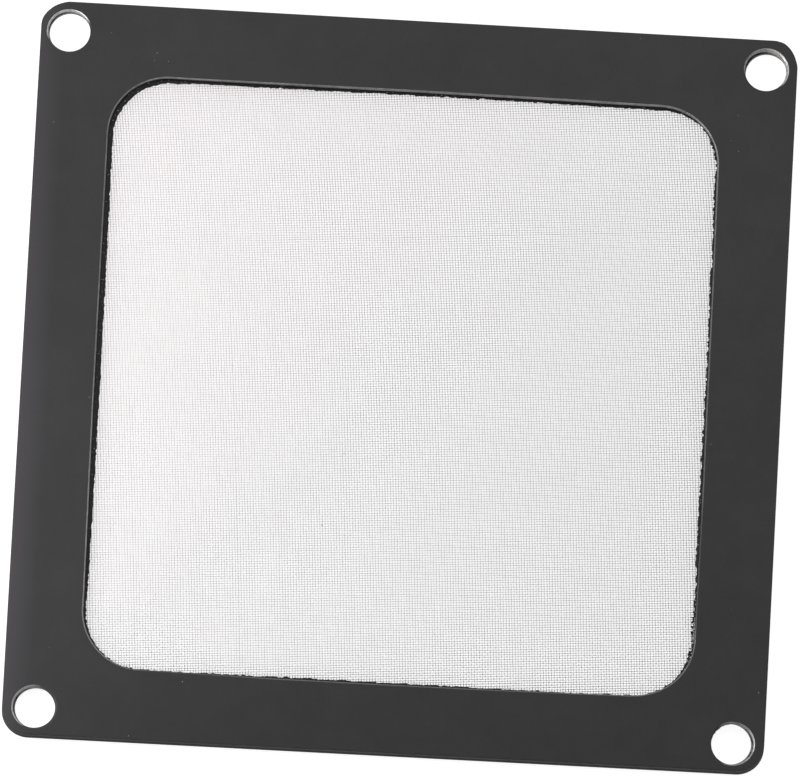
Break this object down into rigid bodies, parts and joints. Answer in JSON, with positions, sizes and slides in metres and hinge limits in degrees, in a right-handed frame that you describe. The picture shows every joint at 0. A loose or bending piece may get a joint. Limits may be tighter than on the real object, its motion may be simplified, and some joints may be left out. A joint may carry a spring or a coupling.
{
  "type": "fan dust filter",
  "caption": "Flat square fan filter: a fine woven wire screen glued between black anodised frames with a large rounded window and a screw hole in each corner.",
  "frame": {"origin": "under the middle of the filter, on the surface that its back frame lies on", "axes": "+Z out of the front face, +Y towards the edge that is at the top of the picture, +X to the right of the picture"},
  "size_m": [0.0778, 0.0778, 0.0016],
  "materials": {
    "black_frame": "black anodised, satin, with bare bright chamfers round the window and holes",
    "steel_wire": "bright drawn stainless wire, plain weave",
    "black_adhesive": "black adhesive film with a ragged inner edge"
  },
  "bodies": {
    "root": {"back_frame": "black_frame", "adhesive_back": "black_adhesive", "filter_mesh": "steel_wire", "adhesive_front": "black_adhesive", "front_frame": "black_frame"}
  },
  "joints": []
}
